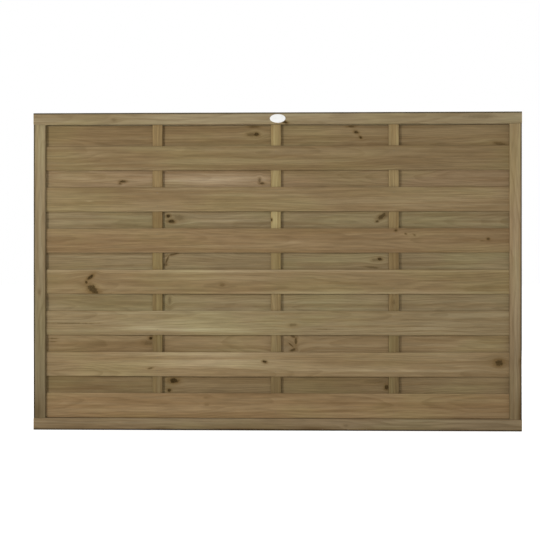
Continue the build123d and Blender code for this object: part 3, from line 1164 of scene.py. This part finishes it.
def slat_pin_places(names):
    """Two pins through each slat into each batten."""
    places = []
    for name in names:
        low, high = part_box(name)
        middle = (low.z + high.z) / 2
        for x in batten_middles():
            places += [(x, middle - sizes().pin_spread / 2), (x, middle + sizes().pin_spread / 2)]
    return places


def frame_pin_places():
    """Two pins through each tenon of a stile, and one through each end of a batten."""
    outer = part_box("right_stile")[1].x
    tenon_width = outer - RIGHT_MOUTH - sizes().groove_depth
    third = tenon_width / 3
    columns = [-outer + third, -outer + 2 * third, outer - 2 * third, outer - third] + batten_middles()
    rows = (INNER_TOP + TENON_LENGTH / 2, INNER_BASE - TENON_LENGTH / 2)
    return [(x, z) for x in columns for z in rows]


def plaque():
    """An oval badge with a rounded rim and a slightly crowned, blank face."""
    low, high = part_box("plaque")
    middle = (low + high) / 2
    shape = bmesh.new()
    bmesh.ops.create_circle(shape, cap_ends=True, segments=PLAQUE_SIDES, radius=0.5)
    bmesh.ops.rotate(shape, matrix=Matrix.Rotation(math.pi / 2, 3, "X"), verts=shape.verts)
    bmesh.ops.scale(shape, vec=(high.x - low.x, 1, high.z - low.z), verts=shape.verts)
    bmesh.ops.translate(shape, vec=(middle.x, high.y, middle.z), verts=shape.verts)
    front_rim = moved_verts(bmesh.ops.extrude_face_region(shape, geom=shape.faces[:], use_keep_orig=True))
    bmesh.ops.translate(shape, vec=(0, low.y - high.y, 0), verts=front_rim)
    bmesh.ops.recalc_face_normals(shape, faces=shape.faces)
    front = min(shape.faces, key=lambda face: face.calc_center_median().y)
    round_edges(shape, front.edges[:], sizes().plaque_round, PLAQUE_EDGE_SEGMENTS)
    step_width = (high.z - low.z) / PLAQUE_STEP_SHARE
    for step in range(PLAQUE_STEPS):
        front = min(shape.faces, key=lambda face: (round(face.normal.y, 3), face.calc_center_median().y))
        bmesh.ops.inset_region(shape, faces=[front], thickness=step_width, depth=PLAQUE_CROWN / (step + 1))
    return add_piece("plaque_badge", shape, plastic(), "plaque")


# Studio

def background_rays(tree):
    """1 on rays that see the background, straight, in a gloss or through glass, and 0 on the others."""
    paths = put(tree, "ShaderNodeLightPath").outputs
    indirect = calc(tree, "MAXIMUM", paths["Is Glossy Ray"], paths["Is Transmission Ray"])
    return calc(tree, "MAXIMUM", paths["Is Camera Ray"], indirect)


def make_floor():
    """A large pale floor, white to the camera, that keeps the panel's shadow."""
    shape = bmesh.new()
    bmesh.ops.create_grid(shape, x_segments=1, y_segments=1, size=FLOOR_HALF)
    mesh = bpy.data.meshes.new("floor")
    shape.to_mesh(mesh)
    shape.free()
    material, tree, shader = new_material("floor_pale")
    shader.inputs["Base Color"].default_value = (*studio().floor, 1.0)
    shader.inputs["Roughness"].default_value = FLOOR_ROUGHNESS
    shader.inputs["Specular IOR Level"].default_value = 0.0
    shader.inputs["Emission Color"].default_value = WHITE
    glow = calc(tree, "MULTIPLY", background_rays(tree), FLOOR_GLOW)
    tree.links.new(glow, shader.inputs["Emission Strength"])
    mesh.materials.append(material)
    floor = bpy.data.objects.new("floor", mesh)
    bpy.context.scene.collection.objects.link(floor)


def make_lights():
    """Soft rectangular lights, each turned to its target."""
    for name, lamp in LAMPS.items():
        light = bpy.data.lights.new(name, "AREA")
        light.shape = "RECTANGLE"
        light.size = lamp.width
        light.size_y = lamp.height
        light.energy = getattr(studio(), f"{name}_power")
        holder = bpy.data.objects.new(name, light)
        holder.location = lamp.place
        aim = Vector(lamp.target) - Vector(lamp.place)
        holder.rotation_euler = aim.to_track_quat("-Z", "Y").to_euler()
        bpy.context.scene.collection.objects.link(holder)


def make_world():
    """White behind the panel, and an even light of its own strength on it."""
    world = bpy.data.worlds.new("studio")
    bpy.context.scene.world = world
    world.use_nodes = True
    tree = world.node_tree
    background = tree.nodes["Background"]
    background.inputs["Color"].default_value = WHITE
    strength = ramp(tree, background_rays(tree), 0.0, 1.0, studio().ambient, 1.0)
    tree.links.new(strength, background.inputs["Strength"])


def make_camera():
    """A level camera, a little right of square on."""
    camera = bpy.data.cameras.new("camera")
    camera.sensor_width = SENSOR_WIDTH
    camera.lens = studio().lens
    eye = bpy.data.objects.new("camera", camera)
    eye.location = (
        studio().distance * math.sin(studio().azimuth),
        -studio().distance * math.cos(studio().azimuth),
        studio().height,
    )
    eye.rotation_euler = (math.pi / 2, 0.0, studio().turn)
    bpy.context.scene.collection.objects.link(eye)
    bpy.context.scene.camera = eye


# Operators and the sidebar

class FENCE_OT_frame(bpy.types.Operator):
    """Model the two rails and the two stiles"""

    bl_idname = "fence.make_frame"
    bl_label = "Frame"

    def execute(self, context):
        half_face = (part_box("top_rail")[1].z - INNER_TOP) / 2
        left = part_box("top_rail")[0].x
        upside_down = Matrix.Rotation(math.pi, 4, "X")
        stand = Matrix.Rotation(-math.pi / 2, 4, "Y")
        face_right = Matrix.Rotation(math.pi, 4, "Z") @ stand
        frame_bar("top_rail", False, upside_down, Vector((left, 0, INNER_TOP + half_face)))
        frame_bar("bottom_rail", False, Matrix.Identity(4), Vector((left, 0, INNER_BASE - half_face)))
        frame_bar("left_stile", True, face_right, Vector((LEFT_MOUTH - half_face, 0, INNER_BASE)))
        frame_bar("right_stile", True, stand, Vector((RIGHT_MOUTH + half_face, 0, INNER_BASE)))
        return {"FINISHED"}


class FENCE_OT_battens(bpy.types.Operator):
    """Model the three upright battens"""

    bl_idname = "fence.make_battens"
    bl_label = "Battens"

    def execute(self, context):
        for name in BATTENS:
            low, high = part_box(name)
            shape = plank(low, high, ALONG_Z, ALONG_X, sizes().batten_round, BATTEN_CUTS)
            add_piece(f"{name}_board", shape, wood(name, upright=True), name)
        return {"FINISHED"}


class FENCE_OT_slats(bpy.types.Operator):
    """Model the slats on the front and the rear"""

    bl_idname = "fence.make_slats"
    bl_label = "Slats"

    def execute(self, context):
        for name in frame["nodes"]:
            if "_slat_" in name and not name.endswith("pins"):
                slat(name)
        return {"FINISHED"}


class FENCE_OT_pins(bpy.types.Operator):
    """Model the pins that hold the slats, the battens and the frame"""

    bl_idname = "fence.make_pins"
    bl_label = "Pins"

    def execute(self, context):
        zinc = steel()
        for side in ("front", "rear"):
            names = [name for name in LOOKS if name.startswith(f"{side}_slat_")]
            low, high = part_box(names[0])
            face_y = low.y if side == "front" else high.y
            pin_set(f"{side}_slat_pins", slat_pin_places(names), face_y, sizes().slat_pin_wire, zinc)
        rear_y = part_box("top_rail")[1].y
        pin_set("frame_pins", frame_pin_places(), rear_y, sizes().frame_pin_wire, zinc)
        return {"FINISHED"}


class FENCE_OT_plaque(bpy.types.Operator):
    """Model the oval plaque on the top rail"""

    bl_idname = "fence.make_plaque"
    bl_label = "Plaque"

    def execute(self, context):
        plaque()
        return {"FINISHED"}


class FENCE_OT_stage(bpy.types.Operator):
    """Set up the floor, the light and the camera"""

    bl_idname = "fence.make_stage"
    bl_label = "Studio"

    def execute(self, context):
        make_floor()
        make_lights()
        make_world()
        make_camera()
        context.scene.view_settings.view_transform = "Standard"
        return {"FINISHED"}


OPERATORS = (FENCE_OT_frame, FENCE_OT_battens, FENCE_OT_slats, FENCE_OT_pins, FENCE_OT_plaque, FENCE_OT_stage)
GROUPS = (FencePanelSizes, FencePanelFinish, FencePanelStudio)


class FENCE_PT_panel(bpy.types.Panel):
    """Lists the pieces and their settings in the sidebar"""

    bl_idname = "FENCE_PT_panel"
    bl_label = "Fence panel"
    bl_space_type = "VIEW_3D"
    bl_region_type = "UI"
    bl_category = "Fence panel"

    def draw(self, context):
        for operator in OPERATORS:
            self.layout.operator(operator.bl_idname)
        for owner in (sizes(), finishes(), studio()):
            box = self.layout.box()
            for key in owner.bl_rna.properties.keys():
                if key not in ("rna_type", "name"):
                    box.prop(owner, key)


def register():
    for item in GROUPS + OPERATORS + (FENCE_PT_panel,):
        bpy.utils.register_class(item)
    bpy.types.Scene.fence_sizes = PointerProperty(type=FencePanelSizes)
    bpy.types.Scene.fence_finish = PointerProperty(type=FencePanelFinish)
    bpy.types.Scene.fence_studio = PointerProperty(type=FencePanelStudio)


def unregister():
    del bpy.types.Scene.fence_studio
    del bpy.types.Scene.fence_finish
    del bpy.types.Scene.fence_sizes
    for item in reversed(GROUPS + OPERATORS + (FENCE_PT_panel,)):
        bpy.utils.unregister_class(item)


def main():
    register()
    bpy.ops.fence.make_frame()
    bpy.ops.fence.make_battens()
    bpy.ops.fence.make_slats()
    bpy.ops.fence.make_pins()
    bpy.ops.fence.make_plaque()
    bpy.ops.fence.make_stage()


if __name__ == "__main__":
    main()
